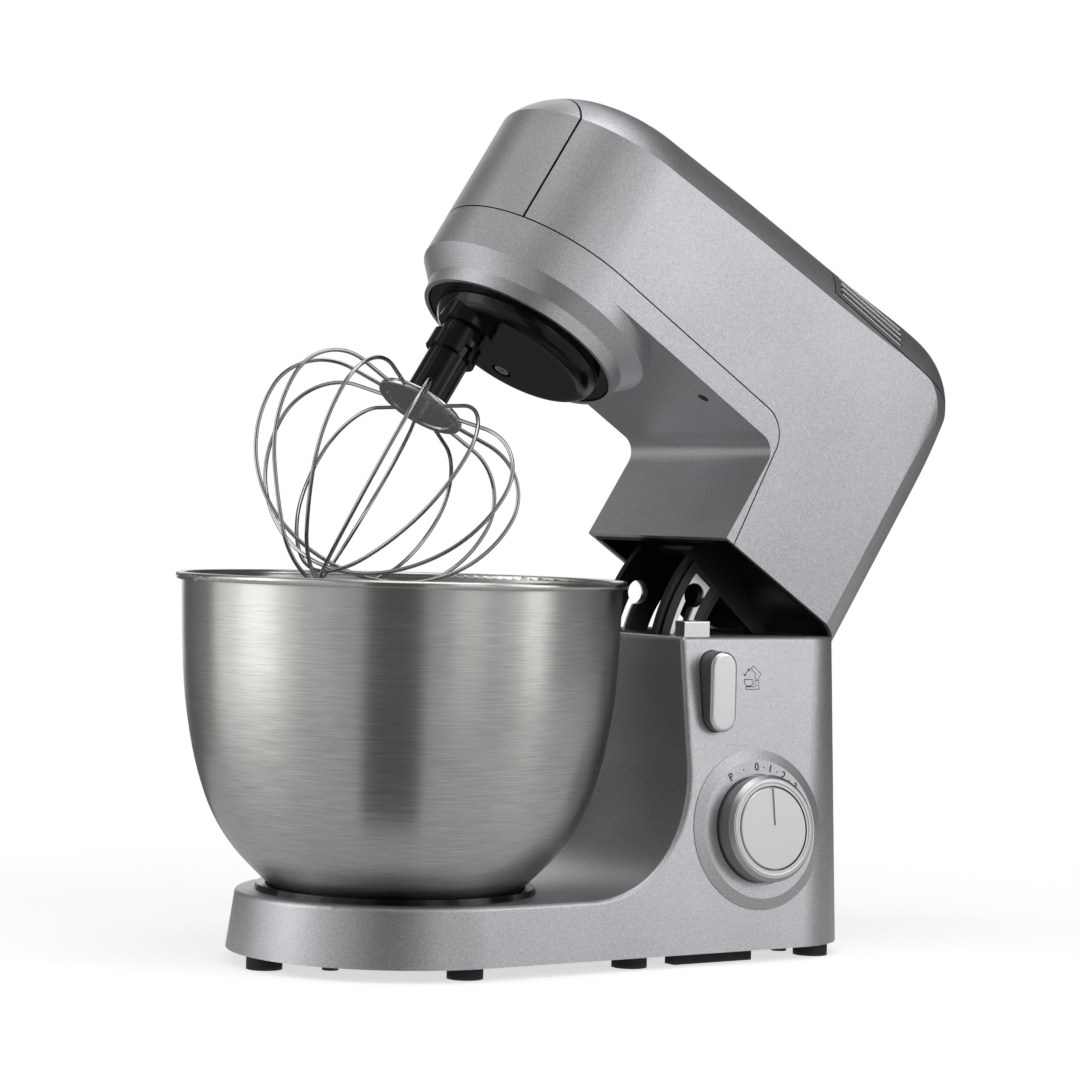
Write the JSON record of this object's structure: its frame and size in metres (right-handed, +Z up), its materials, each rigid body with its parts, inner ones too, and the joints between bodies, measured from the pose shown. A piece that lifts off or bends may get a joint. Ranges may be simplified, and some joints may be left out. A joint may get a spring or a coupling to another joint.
{
  "type": "stand mixer",
  "caption": "Tilt-head stand mixer with the head raised: a column base with dial and release button, a steel bowl, and a planetary whisk driven from the head.",
  "frame": {"origin": "on the table, midway between the front and rear ends of the mixer with its head raised", "axes": "+X to the rear (column and hinge side), +Y to the side away from the dial, +Z up"},
  "size_m": [0.4315, 0.226, 0.4384],
  "materials": {
    "silver_paint": "fine metallic silver paint",
    "dark_silver": "darker metallic paint",
    "black_plastic": "satin black",
    "black_gloss": "gloss black",
    "rubber": "matt black",
    "bowl_steel": "brushed round the bowl's axis",
    "chrome_wire": "polished",
    "light_plastic": "satin light silver",
    "board_green": "circuit board",
    "steel": "plain steel",
    "black_steel": "black",
    "cast_alloy": "as cast",
    "bronze": "sintered"
  },
  "bodies": {
    "base": {"base_housing": "silver_paint", "base_plate": "black_plastic", "rubber_feet": "rubber", "side_pads": "rubber", "base_screws": "steel", "bowl_seat": "black_gloss", "column_cap": "black_plastic", "hinge_frame": "steel", "hinge_pin": "steel", "hinge_bushings": "bronze", "locating_tab": "chrome_wire", "dial_bezel": "silver_paint", "speed_switch": "black_plastic", "control_board": "board_green", "cord_gland": "black_plastic"},
    "dial": {"dial_knob": "light_plastic", "dial_face": "light_plastic", "dial_shaft": "steel"},
    "button": {"release_button": "light_plastic", "lock_pin": "steel"},
    "bowl": {"bowl": "bowl_steel", "bowl_foot": "bowl_steel"},
    "head": {"head_upper_shell": "silver_paint", "head_lower_shell": "silver_paint", "front_cap": "silver_paint", "rear_vent_cover": "dark_silver", "neck_liner": "black_plastic", "lock_arms": "black_steel", "keyhole_plates": "steel", "arm_spacer": "black_steel", "arm_screws": "steel", "head_frame": "cast_alloy", "ring_gear": "steel", "ring_gear_screws": "steel", "bearings": "steel", "motor_bracket": "cast_alloy", "motor_stator": "steel", "drive_belt": "rubber"},
    "planet": {"planet_cover": "black_gloss", "main_shaft": "steel", "main_gear": "steel", "dish_screw": "steel"},
    "whisk": {"output_shaft": "steel", "planet_gear": "steel", "whisk_stem": "black_plastic", "whisk_disc": "chrome_wire", "whisk_wires": "chrome_wire"},
    "idler": {"idler_shaft": "steel", "idler_pinion": "steel", "idler_pulley": "black_plastic"},
    "rotor": {"motor_pulley": "steel", "motor_shaft": "steel", "armature": "steel", "cooling_fan": "black_plastic"}
  },
  "joints": [
    {"name": "head_tilt", "type": "hinge", "parent": "base", "child": "head", "pos_m": [0.12422, 0, 0.1433], "axis": [0, 1, 0], "range_deg": [-33, 0]},
    {"name": "speed_dial", "type": "hinge", "parent": "base", "child": "dial", "pos_m": [0.06722, -0.07562, 0.0667], "axis": [0, -0.9905, 0.1374], "range_deg": [-96, 32]},
    {"name": "release_press", "type": "slide", "parent": "base", "child": "button", "axis": [0, 1, 0], "range_m": [0, 0.005], "stiffness_N_per_m": 900},
    {"name": "bowl_twist", "type": "hinge", "parent": "base", "child": "bowl", "pos_m": [-0.10278, 0, 0.02], "axis": [0, 0, 1], "range_deg": [0, 35]},
    {"name": "planet_spin", "type": "hinge", "parent": "head", "child": "planet", "pos_m": [-0.03528, 0, 0.31449], "axis": [0.5446, 0, 0.8387], "continuous": true},
    {"name": "whisk_spin", "type": "hinge", "parent": "planet", "child": "whisk", "pos_m": [-0.06044, 0, 0.33082], "axis": [0.5446, 0, 0.8387], "continuous": true},
    {"name": "idler_spin", "type": "hinge", "parent": "head", "child": "idler", "pos_m": [0.02969, 0, 0.33191], "axis": [0.5446, 0, 0.8387], "continuous": true},
    {"name": "motor_spin", "type": "hinge", "parent": "head", "child": "rotor", "pos_m": [0.11438, 0, 0.32461], "axis": [0.5446, 0, 0.8387], "continuous": true}
  ],
  "couplings": [
    {"joint": "whisk_spin", "follows": "planet_spin", "ratio": -3.8571},
    {"joint": "idler_spin", "follows": "planet_spin", "ratio": -5},
    {"joint": "motor_spin", "follows": "planet_spin", "ratio": -25}
  ]
}
